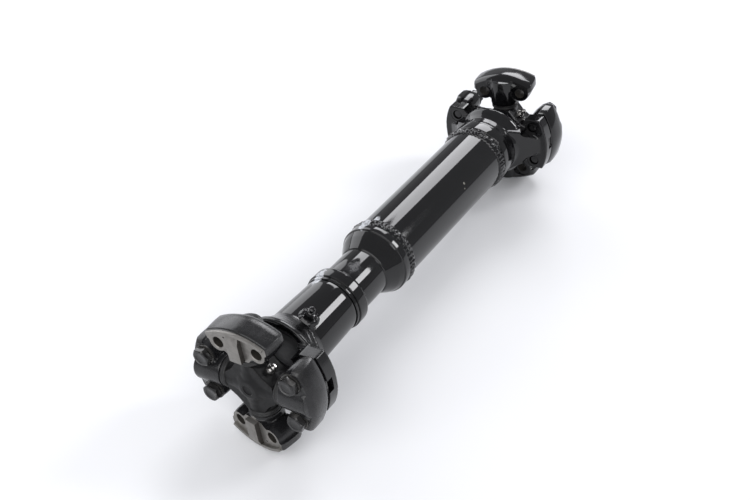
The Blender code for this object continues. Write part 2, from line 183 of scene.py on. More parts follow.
def box(low, high):
    """A box from its lowest corner to its highest."""
    outline = [(low[1], low[2]), (high[1], low[2]), (high[1], high[2]), (low[1], high[2])]
    return prism(outline, low[0], high[0])


def arc(radius, first, last, steps, centre=(0.0, 0.0)):
    """Points on an arc, with the angles in degrees."""
    angles = [math.radians(first + (last - first) * i / steps) for i in range(steps + 1)]
    return [(centre[0] + radius * math.cos(a), centre[1] + radius * math.sin(a)) for a in angles]


def mirrored(half):
    """A closed outline from its right half, whose first and last points lie on the centre line."""
    return half + [(-a, b) for a, b in reversed(half[1:-1])]


def linked(name, data):
    """A new object in the scene."""
    obj = bpy.data.objects.new(name, data)
    bpy.context.scene.collection.objects.link(obj)
    return obj


def with_modifiers(mesh, add):
    """The mesh after the modifiers that add(object) puts on it."""
    obj = linked("work", mesh)
    add(obj)
    graph = bpy.context.evaluated_depsgraph_get()
    result = bpy.data.meshes.new_from_object(obj.evaluated_get(graph))
    bpy.data.objects.remove(obj)
    return result


def combined(base, operation, *meshes):
    """The base mesh after the Boolean operation with each of the other meshes."""
    helpers = [linked("helper", mesh) for mesh in meshes]

    def add(obj):
        for helper in helpers:
            modifier = obj.modifiers.new(operation, "BOOLEAN")
            modifier.operation = operation
            modifier.object = helper
            modifier.solver = "EXACT"

    result = with_modifiers(base, add)
    for helper in helpers:
        bpy.data.objects.remove(helper)
    return result


def together(*meshes):
    """One mesh that holds several closed shells, which may overlap."""
    bm = bmesh.new()
    for mesh in meshes:
        bm.from_mesh(mesh)
    return mesh_from(bm)


def forged(mesh, voxel, passes):
    """Rounds shells off as a forging is: an even remesh that merges them, then smoothing."""

    def add(obj):
        remesh = obj.modifiers.new("remesh", "REMESH")
        remesh.mode = "VOXEL"
        remesh.voxel_size = voxel
        smooth = obj.modifiers.new("smooth", "SMOOTH")
        smooth.factor = 0.5
        smooth.iterations = passes

    return with_modifiers(mesh, add)


def bevelled(mesh, width, segments=2):
    """Rounds off the mesh's sharp edges."""

    def add(obj):
        bevel = obj.modifiers.new("bevel", "BEVEL")
        bevel.width = width
        bevel.segments = segments
        bevel.limit_method = "ANGLE"
        bevel.angle_limit = math.radians(32)

    return with_modifiers(mesh, add)


def roughened(mesh, size, height):
    """Moves each point along its normal by noise, as scale and hammer marks do on a forging."""
    normals = [v.normal.copy() for v in mesh.vertices]
    for vertex, normal in zip(mesh.vertices, normals):
        vertex.co += normal * (noise.noise(vertex.co / size) * height)
    return mesh


# Materials ---------------------------------------------------------------------------------------


def node(tree, kind, **values):
    """A new node, with each value set on its property or, failing that, on its input of that name."""
    made = tree.nodes.new(kind)
    for name, value in values.items():
        if hasattr(made, name):
            setattr(made, name, value)
        else:
            made.inputs[name.replace("_", " ")].default_value = value
    return made


def noise_node(tree, source, scale, detail):
    made = node(tree, "ShaderNodeTexNoise", Scale=scale, Detail=detail, Roughness=0.6)
    tree.links.new(source, made.inputs["Vector"])
    return made.outputs["Fac"]


def ramp_node(tree, source, stops):
    """A colour ramp from (position, grey or colour) stops."""
    made = tree.nodes.new("ShaderNodeValToRGB")
    elements = made.color_ramp.elements
    while len(elements) < len(stops):
        elements.new(0.5)
    for element, (position, value) in zip(elements, stops):
        element.position = position
        colour = (value,) * 3 if isinstance(value, float) else value
        element.color = (*colour, 1.0)
    tree.links.new(source, made.inputs["Fac"])
    return made.outputs["Color"]


def mixed(tree, factor, first, second):
    """Mixes two colours or greys, each a socket or a value. The factor is a socket."""
    made = tree.nodes.new("ShaderNodeMix")
    made.data_type = "RGBA"
    tree.links.new(factor, made.inputs[0])
    for value, socket in ((first, made.inputs[6]), (second, made.inputs[7])):
        if hasattr(value, "is_output"):
            tree.links.new(value, socket)
        else:
            colour = value if isinstance(value, tuple) else (value,) * 3
            socket.default_value = (*colour, 1.0)
    return made.outputs[2]


def bump_chain(tree, bumps):
    """Bump nodes one after the other, from (height socket, strength, distance) in metres."""
    normal = None
    for height, strength, distance in bumps:
        made = node(tree, "ShaderNodeBump", Strength=strength, Distance=distance)
        tree.links.new(height, made.inputs["Height"])
        if normal is not None:
            tree.links.new(normal, made.inputs["Normal"])
        normal = made.outputs["Normal"]
    return normal


def finish_shader(tree, shader, colour, roughness, bumps):
    """Links a material's colour, roughness and bumps to its shader."""
    tree.links.new(colour, shader.inputs["Base Color"])
    tree.links.new(roughness, shader.inputs["Roughness"])
    tree.links.new(bump_chain(tree, bumps), shader.inputs["Normal"])


def new_material(name, metallic=0.0, **constants):
    """A material with its node tree, its shader and the socket of the object's own coordinates."""
    material = bpy.data.materials.new(name)
    material.use_nodes = True
    shader = material.node_tree.nodes["Principled BSDF"]
    shader.inputs["Metallic"].default_value = metallic
    for key, value in constants.items():
        shader.inputs[key.replace("_", " ")].default_value = value
    coordinates = material.node_tree.nodes.new("ShaderNodeTexCoord")
    return material, material.node_tree, shader, coordinates.outputs["Object"]


def edge_wear(tree):
    """1 on edges and raised spots, 0 on flat stretches."""
    geometry = tree.nodes.new("ShaderNodeNewGeometry")
    return ramp_node(tree, geometry.outputs["Pointiness"], [(0.52, 0.0), (0.62, 1.0)])


def near_point(tree, position, centre, radius, stretch):
    """1 at a point, falling to 0 at a radius in metres, which stretch lengthens along X."""
    squeezed = node(tree, "ShaderNodeVectorMath", operation="MULTIPLY")
    tree.links.new(position, squeezed.inputs[0])
    squeezed.inputs[1].default_value = (1.0 / stretch, 1.0, 1.0)
    distance = node(tree, "ShaderNodeVectorMath", operation="DISTANCE")
    tree.links.new(squeezed.outputs["Vector"], distance.inputs[0])
    distance.inputs[1].default_value = (centre[0] / stretch, centre[1], centre[2])
    return ramp_node(tree, times(tree, distance.outputs["Value"], 1.0 / radius), [(0.0, 1.0), (1.0, 0.0)])


def maths(tree, operation, first, second):
    """The result of a maths node on a socket and a second socket or number."""
    made = node(tree, "ShaderNodeMath", operation=operation)
    tree.links.new(first, made.inputs[0])
    if isinstance(second, float):
        made.inputs[1].default_value = second
    else:
        tree.links.new(second, made.inputs[1])
    return made.outputs[0]


def times(tree, first, second):
    return maths(tree, "MULTIPLY", first, second)


def spot_mask(tree, position, centre, radius, stretch, cut, edge):
    """1 inside a ragged spot and 0 outside. A higher cut makes it smaller and a wider edge softer."""
    speck = noise_node(tree, position, 170.0, 3.0)
    near = near_point(tree, position, centre, radius, stretch)
    ragged = times(tree, maths(tree, "ADD", near, times(tree, speck, 1.1)), 0.5)
    mask = ramp_node(tree, ragged, [(cut / 2, 0.0), (cut / 2 + edge, 1.0)])
    mask = times(tree, mask, ramp_node(tree, near, [(0.02, 0.0), (0.3, 1.0)]))
    flecks = ramp_node(tree, noise_node(tree, position, 330.0, 5.0), [(0.36, 0.35), (0.6, 1.0)])
    return times(tree, mask, flecks)


def gloss_paint(name, spots=(), rough=(0.035, 0.075), dust=0.12, peel=0.05):
    """Thick black paint: orange peel, a little dust, pale spots where something rubbed or chipped it, and
    pale spots of painted reflection.

    A spot is (centre and radius in metres, stretch along the shaft, colour, cut, edge).
    """
    material, tree, shader, position = new_material(name)
    cloud = noise_node(tree, position, 26.0, 6.0)
    dusty = ramp_node(tree, cloud, [(0.5, 0.0), (0.8, dust)])
    colour = mixed(tree, dusty, (0.0028, 0.0028, 0.0032), (0.03, 0.03, 0.033))
    roughness = ramp_node(tree, noise_node(tree, position, 60.0, 6.0), [(0.35, rough[0]), (0.8, rough[1])])
    for centre, radius, stretch, shade, cut, edge in spots:
        mask = spot_mask(tree, position, centre, radius, stretch, cut, edge)
        colour = mixed(tree, mask, colour, shade)
        roughness = mixed(tree, mask, roughness, 0.5)
    fine = noise_node(tree, position, 420.0, 2.0)
    finish_shader(tree, shader, colour, roughness, [(fine, peel, 0.0001)])
    return material


def forging_paint(name, base, rough, grain=0.5, shine=0.4):
    """Thin dark paint over a forging: scale, grain, greyer rubbed edges. shine is its specular level."""
    material, tree, shader, position = new_material(name, Specular_IOR_Level=shine)
    cloud = noise_node(tree, position, 70.0, 6.0)
    light = tuple(2.1 * c for c in base)
    colour = mixed(tree, ramp_node(tree, cloud, [(0.35, 0.0), (0.75, 1.0)]), base, light)
    worn = times(tree, edge_wear(tree), noise_node(tree, position, 240.0, 4.0))
    colour = mixed(tree, worn, colour, (0.16, 0.155, 0.15))
    roughness = ramp_node(tree, noise_node(tree, position, 130.0, 5.0), [(0.25, rough[0]), (0.75, rough[1])])
    pits = noise_node(tree, position, 900.0, 4.0)
    lumps = noise_node(tree, position, 160.0, 3.0)
    bumps = [(lumps, 0.35 * grain, 0.0006), (pits, 0.3 * grain, 0.00015)]
    finish_shader(tree, shader, colour, roughness, bumps)
    return material


def ground_steel(name, base, rough=(0.32, 0.5), stain=0.5, metallic=0.75):
    """Ground or turned steel: fine lines along Y, with oily stains."""
    material, tree, shader, position = new_material(name, metallic)
    stretched = node(tree, "ShaderNodeMapping", vector_type="POINT")
    stretched.inputs["Scale"].default_value = (900.0, 60.0, 900.0)
    tree.links.new(position, stretched.inputs["Vector"])
    lines = noise_node(tree, stretched.outputs["Vector"], 1.0, 3.0)
    stains = noise_node(tree, position, 95.0, 5.0)
    dark = tuple(0.55 * c for c in base)
    colour = mixed(tree, ramp_node(tree, stains, [(0.45, 0.0), (0.72, stain)]), base, dark)
    colour = mixed(tree, times(tree, lines, 0.25), colour, tuple(0.7 * c for c in base))
    roughness = ramp_node(tree, lines, [(0.3, rough[0]), (0.7, rough[1])])
    finish_shader(tree, shader, colour, roughness, [(lines, 0.2, 0.00008)])
    return material


def seal_rubber(name):
    """Matt black rubber with a little dust on it."""
    material, tree, shader, position = new_material(name)
    dust = ramp_node(tree, noise_node(tree, position, 180.0, 5.0), [(0.4, 0.0), (0.8, 0.6)])
    colour = mixed(tree, dust, (0.006, 0.006, 0.0065), (0.022, 0.0215, 0.02))
    roughness = ramp_node(tree, noise_node(tree, position, 420.0, 3.0), [(0.3, 0.42), (0.7, 0.62)])
    grain = noise_node(tree, position, 1500.0, 2.0)
    finish_shader(tree, shader, colour, roughness, [(grain, 0.2, 0.00005)])
    return material


# Shapes of the pieces ----------------------------------------------------------------------------


def crowned_arc(width, radius, crown=0.0):
    """Right half of a block's outer edge, from its middle, which stands out by crown, to its end."""
    corner = math.degrees(math.acos(width / radius))
    points = []
    for a, b in arc(radius, 90, corner, 12):
        swell = 1 + crown / radius * math.exp(-((a / CROWN_SPREAD) ** 2))
        points.append((a * swell, b * swell))
    return points


def block_half_outline(width, radius, lobe):
    """Right half of a bearing block seen on its face."""
    side = [(width + 0.4, 66.0), (width + 0.6, 62.0)]
    bottom = arc(lobe, 5, -128, 10, (HALF_BOLT_SPACING + 0.3, BOLT_ROW))
    return [*crowned_arc(width, radius), *side, *bottom, (14.5, 44.6), (12.5, 41.6), (0.0, 41.0)]


def ringed(sections):
    """Lofts outlines of (Y, Z) points, each at its own X."""
    return loft([[Vector((n, e, r)) for e, r in outline] for n, outline in sections])


def block_envelope(rim):
    """The crisp ends and crowned outer surface that a block's forged body is trimmed to.

    The ground face ends at rim. A section is (X, half width, outer radius).
    """
    shoulder = min(rim + 2.4, 78.0)
    sections = [(30.0, 37.6, rim), (17.3, 37.6, rim), (16.6, 38.6, shoulder), (10.0, 39.6, 78.2)]
    sections += [(0.0, 40.0, 78.3), (-6.5, 39.6, 78.0), (-9.6, 38.4, 76.4), (-14.0, 33.0, 73.0)]
    sections.append((-30.0, 30.0, 72.0))
    rings = []
    for n, width, radius in sections:
        crown = CROWN * math.exp(-(((n + 3.0) / CROWN_SPREAD) ** 2)) if n < 14.0 else 0.0
        foot = [(width + 0.5, 64.0), (width + 0.6, 50.0), (width, 20.0), (0.0, 20.0)]
        rings.append((n, mirrored([*crowned_arc(width, radius, crown), *foot])))
    return bevelled(ringed(rings), 0.6, 3)


def block_body(free):
    """The block's forged body, trimmed and machined, before its key, lip and holes."""
    sections = [(26.0, 43.0, 83.0, 10.4), (FACE, 43.0, 83.0, 10.4), (13.0, 44.0, 84.0, 11.7)]
    sections += [(3.0, 44.0, 84.0, 12.4), (-6.0, 44.0, 84.0, 12.0), (SPOT_FACE - 1.0, 43.0, 82.0, 11.2)]
    plate = ringed(
        [(n, mirrored(block_half_outline(width, radius, lobe))) for n, width, radius, lobe in sections]
    )
    side = [(36.0, 16.8), (39.0, 18.5), (60.0, 19.0), (72.0, 18.8), (79.0, 14.5), (82.5, 8.0)]
    barrel = turned([(36.0, 0.0), *side, (83.0, 0.0)], axis="Z", count=64)
    barrel.transform(Matrix.Translation((-0.6, 0.0, 0.0)))
    half_rib = [(-30.0, 0.0), (-30.0, 7.0), (-18.0, 13.0)]
    rib = turned([*half_rib, *[(-a, b) for a, b in reversed(half_rib)]], axis="Y", count=48)
    rib.transform(Matrix.Translation((-1.5, 0.0, 62.0)))
    body = forged(together(plate, barrel, rib), voxel=0.9, passes=5)

    front = box((FACE, -60.0, 20.0), (40.0, 60.0, 100.0))
    foot = box((-40.0, -30.0, 20.0), (60.0, 30.0, 38.6))
    bore = turned([(30.0, 15.0), (69.0, 15.0), (70.5, 12.0)], axis="Z", count=64)
    seats = [rod(-45.0, SPOT_FACE, 12.0, (side * HALF_BOLT_SPACING, BOLT_ROW)) for side in (1, -1)]
    body = combined(body, "INTERSECT", block_envelope(FREE_RIM if free else FIXED_RIM))
    return combined(body, "DIFFERENCE", front, foot, bore, *seats)


def block_mesh(free):
    """A bearing block with its drive key, bolt holes and bore. Only a free one shows its pilot lip."""
    top = FACE + 6.0
    side_on = [(FACE - 2.0, 41.8), (top, 41.8), (top, 66.0), (FACE + 3.0, 73.5), (FACE - 2.0, 73.5)]
    key = loft([[Vector((n, e, r)) for n, r in side_on] for e in (-KEY_HALF_WIDTH, KEY_HALF_WIDTH)])
    body = combined(block_body(free), "UNION", bevelled(key, 0.6))
    if free:
        first, last = 90.0 - LIP_HALF_ANGLE, 90.0 + LIP_HALF_ANGLE
        outline = [*arc(LIP_OUTER, first, last, 32), *arc(LIP_INNER, last, first, 32)]
        body = combined(body, "UNION", bevelled(prism(outline, FACE - 2.0, FACE + 3.0), 0.5))
    punch_mark = rod(FACE - 0.8, FACE + 9.0, 1.1, (-14.5, 66.0), count=20)
    holes = []
    wide = BOLT_HOLE + 0.9
    for side in (1, -1):
        profile = [(-30.0, BOLT_HOLE), (FACE - 0.8, BOLT_HOLE), (FACE, wide), (FACE + 9.0, wide)]
        hole = turned(profile, count=48)
        hole.transform(Matrix.Translation((0.0, side * HALF_BOLT_SPACING, BOLT_ROW)))
        holes.append(hole)
    return combined(body, "DIFFERENCE", punch_mark, *holes)


def is_ground(centre, normal):
    """Whether a block's face was ground: the front, the key's top and the lip."""
    return centre.x > FACE - 0.9 and (normal.x > 0.6 or centre.x > FACE + 0.1)


def is_dull(centre, normal):
    """Whether a face is in a bolt hole or on a side of the drive key."""
    from_hole = math.hypot(abs(centre.y) - HALF_BOLT_SPACING, centre.z - BOLT_ROW)
    in_hole = abs(normal.x) < 0.6 and from_hole < BOLT_HOLE + 0.1 and centre.x > SPOT_FACE
    by_key = centre.x > FACE and abs(centre.y) < KEY_HALF_WIDTH + 0.2 and centre.z < 71.0
    return in_hole or (by_key and abs(normal.y) > 0.6)


def is_in_cup(centre, normal):
    """1 for a face inside the yoke's cup, which gets a darker, less shiny paint as painted shade in the
    recess.
    """
    between_ears = centre.x < 52.0 and abs(centre.y) < 30.5
    return int(between_ears and math.hypot(centre.y, centre.z) < 41.0 and normal.x < 0.5)


def cross_mesh():
    """Forged cross with four ground trunnions, a thick web and a shallow dish on each side."""
    half_arm = [(-33.0, 0.0), (-33.0, 16.0), (-22.0, 16.2), (-10.0, 18.4)]
    arm = [*half_arm, *[(-a, b) for a, b in reversed(half_arm)]]
    arms = [turned(arm, count=64, axis=axis) for axis in ("Y", "Z")]
    half_hub = [(-18.9, 0.0), (-18.9, 10.5), (-13.0, 22.5)]
    hub = turned([*half_hub, *[(-a, b) for a, b in reversed(half_hub)]], count=64)
    web = []
    for k in range(4):
        quarter = Matrix.Rotation(math.pi / 2 * k, 2)
        web += [tuple(quarter @ Vector(point)) for point in ((33.0, -10.0), (33.0, 10.0), (20.0, 20.0))]
    web = prism(web, -15.2, 15.2)
    boss = [(10.0, 0.0), (10.0, 9.0), (CROSS_NIPPLE_SEAT, 7.8), (CROSS_NIPPLE_SEAT, 0.0)]
    boss = turned(boss, count=48, axis="Z")
    boss.transform(Matrix.Rotation(math.pi / 4, 4, "X"))
    body = forged(together(*arms, hub, web, boss), voxel=0.8, passes=8)
    dish = [(30.0, 0.0), (30.0, 9.5), (18.2, 6.2), (17.6, 4.8), (17.6, 0.0)]
    dishes = [turned([(side * a, b) for a, b in dish]) for side in (1, -1)]

    def on_each_arm(profile):
        return [
            turned([(side * a, b) for a, b in profile], count=64, axis=axis)
            for axis in ("Y", "Z")
            for side in (1, -1)
        ]

    ends = on_each_arm([(31.0, 0.0), (31.0, 30.0), (60.0, 30.0), (60.0, 0.0)])
    body = combined(body, "DIFFERENCE", *dishes, *ends)
    trunnion = [(30.0, 0.0), (30.0, TRUNNION_RADIUS), (67.0, TRUNNION_RADIUS), (67.0, 0.0)]
    return together(body, *on_each_arm(softened(trunnion, 1.4)))


def seal_mesh():
    """Seal round a trunnion: a steel case with a double rubber lip."""
    case = [(31.4, 13.0), (31.4, 15.6), (32.2, 17.2), (33.4, 17.9)]
    lips = [(34.4, 17.9), (34.9, 17.2), (35.4, 17.9), (38.0, 17.9), (38.0, 13.0)]
    return turned(softened([*case, *lips], 0.35, 2, closed=True), closed=True, count=96, axis="Z")


def hexagon(across_flats):
    """Corners of a hexagon."""
    return arc(across_flats / math.sqrt(3), 30, 330, 5)


def bolt_mesh():
    """Hexagon bolt with a chamfered head and a washer face. The head points along -X."""
    seat = SPOT_FACE - 2.6
    top = seat - 7.5
    corner = HEX_ACROSS_FLATS / math.sqrt(3)
    head = prism(hexagon(HEX_ACROSS_FLATS), top, seat - 0.7)
    chamfer = [(top - 0.01, 0.0), (top - 0.01, HEX_ACROSS_FLATS / 2 - 0.7)]
    chamfer += [(top + 1.5, corner + 0.05), (seat, corner + 0.05), (seat, 0.0)]
    head = combined(head, "INTERSECT", turned(chamfer, count=72))
    collar = turned([(seat - 1.2, 0.0), (seat - 1.2, 9.1), (seat, 9.3), (seat, 0.0)], count=72)
    dish = turned([(top - 2.0, 0.0), (top - 2.0, 6.2), (top + 0.35, 5.6), (top + 0.35, 0.0)], count=48)
    shank = turned([(seat - 1.0, 0.0), (seat - 1.0, 6.2), (32.0, 6.2), (33.4, 5.0), (33.4, 0.0)], count=48)
    head = combined(head, "UNION", collar, shank)
    return bevelled(combined(head, "DIFFERENCE", dish), 0.25)


def washer_mesh():
    """A thick washer under a bolt's head."""
    profile = softened([(-12.8, 6.7), (-12.8, 11.6), (-10.8, 11.6), (-10.8, 6.7)], 0.3, 2, closed=True)
    return turned(profile, closed=True, count=72)


def nipple_mesh():
    """Grease nipple, pointing along +Z from the surface at Z = 0."""
    flange = prism(hexagon(10.4), 0.3, 4.6)
    flange.transform(Matrix.Rotation(-math.pi / 2, 4, "Y"))
    stem = [(-5.0, 0.0), (-5.0, 3.0), (3.0, 3.0), (6.2, 4.3), (7.2, 2.7), (9.4, 2.5)]
    tip = [(10.6, 3.7), (12.2, 3.6), (13.6, 1.8), (13.6, 0.0)]
    stem = turned(softened([*stem, *tip], 0.35, 2), count=48, axis="Z")
    return bevelled(combined(flange, "UNION", stem), 0.25)


def yoke_mesh(hub):
    """Forged yoke head: two flat ears on gussets that run into the hub, with a cup between them.

    A gusset narrows outwards in steps of (Y, nearest X, farthest X, half width).
    """
    half_angle = math.degrees(math.asin(EAR_HALF_WIDTH / EAR_RADIUS))
    inner = [(46.0, 35.2), (38.0, 27.5), (29.0, 22.0)]
    other_side = [(a, -b) for a, b in reversed(inner)]
    ear = [*arc(EAR_RADIUS, -half_angle, half_angle, 24), *inner, *other_side]
    ear = prism(ear, EAR_FRONT - 5.0, EAR_BACK)
    groove = [(EAR_FRONT - 9.0, 90.0), (EAR_FRONT - 9.0, EAR_RADIUS - 2.2)]
    groove += [(EAR_FRONT + 1.0, EAR_RADIUS - 2.2), (EAR_FRONT + 1.2, EAR_RADIUS - 0.5)]
    groove += [(EAR_FRONT + 1.8, EAR_RADIUS + 0.1), (EAR_FRONT + 1.8, 90.0)]
    steps = [(18.0, 36.0, 66.0, 31.0), (34.0, 34.0, 60.0, 28.0), (47.0, 31.0, 50.0, 23.0)]
    steps += [(57.0, 31.0, 41.5, 14.0), (67.0, 31.0, 35.5, 9.0)]
    gusset = loft(
        [
            [Vector((x0, y, -z)), Vector((x1, y, -z)), Vector((x1, y, z)), Vector((x0, y, z))]
            for y, x0, x1, z in steps
        ]
    )
    parts = [ear, gusset]
    for mesh in (ear, gusset):
        other = mesh.copy()
        other.transform(Matrix.Rotation(math.pi, 4, "X"))
        parts.append(other)
    cup = [(10.0, 0.0), (10.0, 41.0), (36.0, 40.0), (41.0, 38.5), (46.0, 32.0), (50.0, 24.0), (50.0, 0.0)]
    between = box((-20.0, -30.0, -60.0), (39.5, 30.0, 60.0))
    body = combined(hub, "UNION", *parts)
    body = combined(body, "DIFFERENCE", turned(cup, count=96))
    body = combined(body, "DIFFERENCE", between)
    body = forged(body, voxel=1.0, passes=7)

    cutters = [box((0.0, -90.0, -50.0), (EAR_FRONT, 90.0, 50.0)), turned(groove, closed=True)]
    for side in (1, -1):
        low, high = sorted((side * 22.0, side * 90.0))
        cutters.append(box((EAR_FRONT - 3.0, low, -8.1), (EAR_FRONT + 9.0, high, 8.1)))
        for up in (1, -1):
            centre = (side * BOLT_ROW, up * HALF_BOLT_SPACING)
            cutters.append(rod(EAR_FRONT - 3.0, EAR_BACK + 30.0, BOLT_HOLE, centre))
            cutters.append(rod(EAR_BACK - 0.4, EAR_BACK + 30.0, 10.0, centre))
    return combined(body, "DIFFERENCE", *cutters)


def slip_hub():
    """Round part of the slip yoke's head, which narrows to the sleeve."""
    rim = [(40.0, 0.0), (40.0, 46.0), (42.0, 48.0), (46.0, 47.4), (50.0, 44.6)]
    fillet = [(55.0, 41.0), (61.0, 38.2), (66.0, 36.7), (71.0, 36.0), (71.0, 0.0)]
    return turned([*rim, *fillet], count=128)


def tube_yoke_hub():
    """Round part of the welded yoke's head, which runs into its band."""
    rim = [(40.0, 0.0), (40.0, 46.0), (42.0, 48.0), (47.0, 47.5), (53.0, 44.0)]
    neck = [(59.0, 41.6), (69.0, 41.8), (71.0, 43.4), (80.0, 43.4), (80.0, 0.0)]
    return turned([*rim, *neck], count=128)


def slip_boss():
    """Rough boss for the grease nipple, cast on the sleeve."""
    seat = SLIP_NIPPLE["seat"]
    boss = [(30.0, 0.0), (30.0, 12.5), (36.2, 11.6), (37.8, 10.0), (seat, 8.4), (seat, 0.0)]
    boss = forged(turned(boss, count=64, axis="Z"), voxel=0.6, passes=3)
    return roughened(boss, size=3.2, height=0.6)


def weld_mesh(at, side, seed):
    """A weld bead round the tube: overlapping ripples with uneven edges. It spreads from at towards side."""
    across, around = 16, 560
    half_width, height, ripples = 7.6, 3.4, 52
    bottom, inside = 41.0, 37.4
    turns = [2 * math.pi * k / around for k in range(around)]
    rings = []
    for i in range(across + 1):
        t = -1.0 + 2.0 * i / across
        crown = max(1 - t * t, 0.0) ** 0.6
        ring = []
        for angle in turns:
            y, z = math.cos(angle), math.sin(angle)
            wander = noise.noise(Vector((y * 3, z * 3, seed)))
            ripple = math.sin(ripples * angle + 2.4 * (1 - t * t) + 4.0 * wander)
            lump = noise.noise(Vector((y * 14, z * 14, 2.2 * t + seed)))
            radius = bottom + crown * (height + 0.5 * ripple + 1.3 * lump)
            along = at + side * (t * (half_width + 0.8 * wander) - 0.6)
            ring.append(Vector((along, radius * y, radius * z)))
        rings.append(ring)
    ends = [
        [Vector((ring[0].x, inside * math.cos(angle), inside * math.sin(angle))) for angle in turns]
        for ring in (rings[0], rings[-1])
    ]
    return loft([ends[0], *rings, ends[1]], closed=True)


# Placing -----------------------------------------------------------------------------------------

JOINTS = {joint["name"]: joint for joint in frame["joints"]}


def joint_place(end):
    """From millimetres in a joint's frame to metres in the row's frame."""
    centre = Vector(JOINTS[f"{end}_cross_tilt"]["pos_m"])
    across = Vector(JOINTS[f"{end}_cross_tilt"]["axis"])
    up = Vector(JOINTS[f"{end}_upper_swivel"]["axis"])
    axes = Matrix((across.cross(up), across, up)).transposed().to_4x4()
    place = Matrix.Translation(centre) @ axes @ Matrix.Scale(0.001, 4)
    return place @ turn(180, "Z") if end == "far" else place


def turn(angle, axis):
    """A rotation by an angle in degrees about X, Y or Z."""
    return Matrix.Rotation(math.radians(angle), 4, axis)


def piece(name, mesh, materials, body, replaces, place, finish_of=None):
    """Puts a copy of a mesh in place as one named piece, riding on a body in place of its CAD nodes.

    finish_of(centre, normal) gives the number of a face's material.
    """
    mesh = mesh.copy()
    mesh.name = name
    mesh.transform(place)
    if place.to_3x3().determinant() < 0:
        mesh.flip_normals()
    mesh.materials.clear()
    for material in materials:
        mesh.materials.append(material)
    back = place.inverted()
    turn_back = back.to_3x3().normalized()
    for face in mesh.polygons:
        face.material_index = 0
        if finish_of is not None:
            normal = (turn_back @ face.normal).normalized()
            face.material_index = finish_of(back @ face.center, normal)
    mesh.shade_smooth()
    mesh.set_sharp_from_angle(angle=SMOOTH_BELOW)
    obj = linked(name, mesh)
    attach(obj, body)
    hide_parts(*replaces)


def block_finish(centre, normal):
    """0 for a block's painted faces, 1 for its ground ones and 2 for its dark walls, which are oily steel
    also darkened as painted shade.
    """
    if is_dull(centre, normal):
        return 2
    return int(is_ground(centre, normal))


BLOCK_SEATS = {
    "left": turn(-90, "X"),
    "right": turn(90, "X"),
    "upper": turn(180, "Z"),
    "lower": turn(180, "Y"),
}
ARMS = {"left": turn(-90, "X"), "right": turn(90, "X"), "upper": Matrix(), "lower": turn(180, "X")}


def side_in(end, side):
    """The far joint's frame is turned round, so left and right change places in it."""
    swap = {"left": "right", "right": "left"}
    return swap.get(side, side) if end == "far" else side


def cross_finish(centre, normal):
    """1 on the ground trunnions, 0 on the forged body."""
    return int(max(abs(centre.y), abs(centre.z)) > 31.2)


def build_cross(end, place, shapes, finishes):
    """A joint's cross and its grease nipple, which both sit the same way round on the near and far joints."""
    name, nipple = f"{end}_cross", f"{end}_cross_nipple"
    parts = [finishes[name], finishes["bearing"]]
    piece(f"look_{name}", shapes["cross"], parts, name, [name], place, cross_finish)
    seat = place @ turn(45, "X") @ Matrix.Translation((0.0, 0.0, CROSS_NIPPLE_SEAT))
    piece(f"look_{nipple}", shapes["nipple"], [finishes["nipple"]], name, [nipple], seat)


def build_joint(end, shapes, finishes):
    """A joint's blocks, seals, bolts and washers, and its cross."""
    place = joint_place(end)
    fixed_body = "slip" if end == "near" else "shaft"
    block_finishes = [finishes[f"{end}_block"], finishes["ground"], finishes["dark_wall_oil_and_shade"]]
    for side in ("left", "right", "upper", "lower"):
        swivel = SWIVELS.get(f"{end}_{side}", 0.0)
        seat = turn(swivel, "Z") @ BLOCK_SEATS[side_in(end, side)]
        free = side in ("upper", "lower")
        body = f"{end}_{side}_block" if free else fixed_body
        wing = f"{end}_wing_{side}"
        finish_of = block_finish if free else None
        shape = shapes["free_block" if free else "fixed_block"]
        piece(f"block_{end}_{side}", shape, block_finishes, body, [wing], place @ seat, finish_of)
        seal = f"{end}_seal_{side}"
        arm = place @ ARMS[side_in(end, side)]
        piece(f"look_{seal}", shapes["seal"], [finishes["seal"]], f"{end}_cross", [seal], arm)
    for side, first_turn in (("left", 5), ("right", 40)):
        y = BOLT_ROW if side_in(end, side) == "left" else -BOLT_ROW
        for level, up in (("upper", 1), ("lower", -1)):
            spot = place @ Matrix.Translation((0.0, y, up * HALF_BOLT_SPACING))
            spot = spot @ turn(first_turn + 17 * up, "X")
            for kind, slot in (("bolt", "painted_bolt"), ("washer", "washer_steel")):
                cad = f"{end}_{kind}_{side}_{level}"
                piece(f"look_{cad}", shapes[kind], [finishes[f"{end}_{kind}"]], fixed_body, [cad], spot)
    build_cross(end, place @ turn(180, "Z") if end == "far" else place, shapes, finishes)


